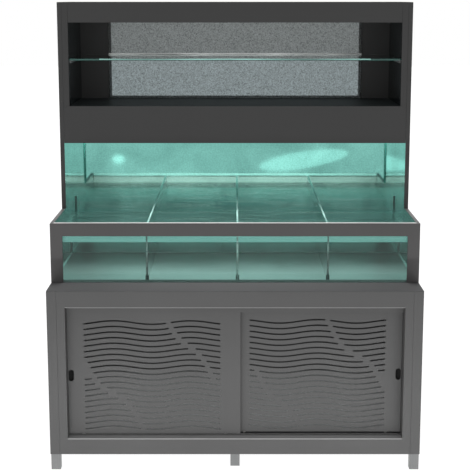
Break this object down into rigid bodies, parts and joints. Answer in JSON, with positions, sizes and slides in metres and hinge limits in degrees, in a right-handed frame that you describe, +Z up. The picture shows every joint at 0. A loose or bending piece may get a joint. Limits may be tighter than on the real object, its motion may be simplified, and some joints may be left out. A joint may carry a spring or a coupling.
{
  "type": "aquarium on stand",
  "caption": "Low glass tank with partitions on a slotted sliding-door cabinet, with a rear display hood and glass shelf above it.",
  "frame": {"origin": "on the floor under the middle of the cabinet", "axes": "+Z up, +X to the right seen from the front, the front faces -Y"},
  "size_m": [1.5, 0.96, 1.87],
  "materials": {
    "bare_steel": "fine brushed, bare",
    "frame_steel": "mill finish",
    "cabinet_paint": "satin grey powder coat",
    "tank_paint": "satin dark grey paint",
    "hood_paint": "satin dark grey paint",
    "black_plastic": "fine moulded grain",
    "track_aluminium": "extruded, satin",
    "roller_nylon": "turned nylon",
    "tank_glass": "polished, blue-green tint",
    "shelf_glass": "polished edges",
    "silicone": "smooth black silicone",
    "water": "still water",
    "lamp_diffuser": "opal acrylic",
    "window_pane": "satin translucent"
  },
  "bodies": {
    "root": {"leg_front_left": "bare_steel", "leg_front_right": "bare_steel", "leg_front_middle": "bare_steel", "leg_rear_left": "bare_steel", "leg_rear_right": "bare_steel", "leg_rear_middle": "bare_steel", "bottom_rail_front": "frame_steel", "bottom_rail_rear": "frame_steel", "bottom_rail_left": "frame_steel", "bottom_rail_right": "frame_steel", "top_rail_front": "frame_steel", "top_rail_rear": "frame_steel", "top_rail_left": "frame_steel", "top_rail_right": "frame_steel", "floor_beam": "frame_steel", "upright_left": "frame_steel", "upright_right": "frame_steel", "cabinet_side_left": "cabinet_paint", "cabinet_side_right": "cabinet_paint", "cabinet_back": "cabinet_paint", "cabinet_deck": "cabinet_paint", "cabinet_face": "cabinet_paint", "cabinet_floor": "cabinet_paint", "bottom_track": "cabinet_paint", "top_track": "cabinet_paint", "power_inlet": "black_plastic", "shelf_rest_left": "track_aluminium", "shelf_rest_right": "track_aluminium", "lamp_housing": "track_aluminium", "tank_front_glass": "tank_glass", "tank_bottom_glass": "tank_glass", "tank_left_glass": "tank_glass", "tank_right_glass": "tank_glass", "rear_glass": "tank_glass", "partition_1": "tank_glass", "partition_2": "tank_glass", "partition_3": "tank_glass", "tank_surround_front": "tank_paint", "tank_surround_left": "tank_paint", "tank_surround_right": "tank_paint", "side_panel_left": "hood_paint", "side_panel_right": "hood_paint", "rear_panel": "hood_paint", "fascia_bottom": "hood_paint", "fascia_top": "hood_paint", "hood_liner_left": "hood_paint", "hood_liner_right": "hood_paint", "hood_floor": "hood_paint", "hood_top": "hood_paint", "hood_underside": "hood_paint", "glass_shelf": "shelf_glass", "rear_window": "window_pane"},
    "door_left": {"door_left": "cabinet_paint", "pull_left": "black_plastic"},
    "door_right": {"door_right": "cabinet_paint", "pull_right": "black_plastic"},
    "roller_left_outer": {"roller_left_outer": "roller_nylon"},
    "roller_left_inner": {"roller_left_inner": "roller_nylon"},
    "roller_right_outer": {"roller_right_outer": "roller_nylon"},
    "roller_right_inner": {"roller_right_inner": "roller_nylon"}
  },
  "joints": [
    {"name": "door_left_slide", "type": "slide", "parent": "root", "child": "door_left", "axis": [1, 0, 0], "range_m": [0, 0.6545]},
    {"name": "door_right_slide", "type": "slide", "parent": "root", "child": "door_right", "axis": [-1, 0, 0], "range_m": [0, 0.6545]},
    {"name": "roller_left_outer_spin", "type": "hinge", "parent": "door_left", "child": "roller_left_outer", "pos_m": [-0.617, -0.431, 0.1451], "axis": [0, 1, 0], "range_deg": [-0.5, 4692.5]},
    {"name": "roller_left_inner_spin", "type": "hinge", "parent": "door_left", "child": "roller_left_inner", "pos_m": [-0.0375, -0.431, 0.1451], "axis": [0, 1, 0], "range_deg": [-0.5, 4692.5]},
    {"name": "roller_right_outer_spin", "type": "hinge", "parent": "door_right", "child": "roller_right_outer", "pos_m": [0.617, -0.412, 0.1451], "axis": [0, 1, 0], "range_deg": [-4692.5, 0.5]},
    {"name": "roller_right_inner_spin", "type": "hinge", "parent": "door_right", "child": "roller_right_inner", "pos_m": [0.0375, -0.412, 0.1451], "axis": [0, 1, 0], "range_deg": [-4692.5, 0.5]}
  ],
  "couplings": [
    {"joint": "roller_left_outer_spin", "follows": "door_left_slide", "rad_per_m": 125},
    {"joint": "roller_left_inner_spin", "follows": "door_left_slide", "rad_per_m": 125},
    {"joint": "roller_right_outer_spin", "follows": "door_right_slide", "rad_per_m": -125},
    {"joint": "roller_right_inner_spin", "follows": "door_right_slide", "rad_per_m": -125}
  ]
}
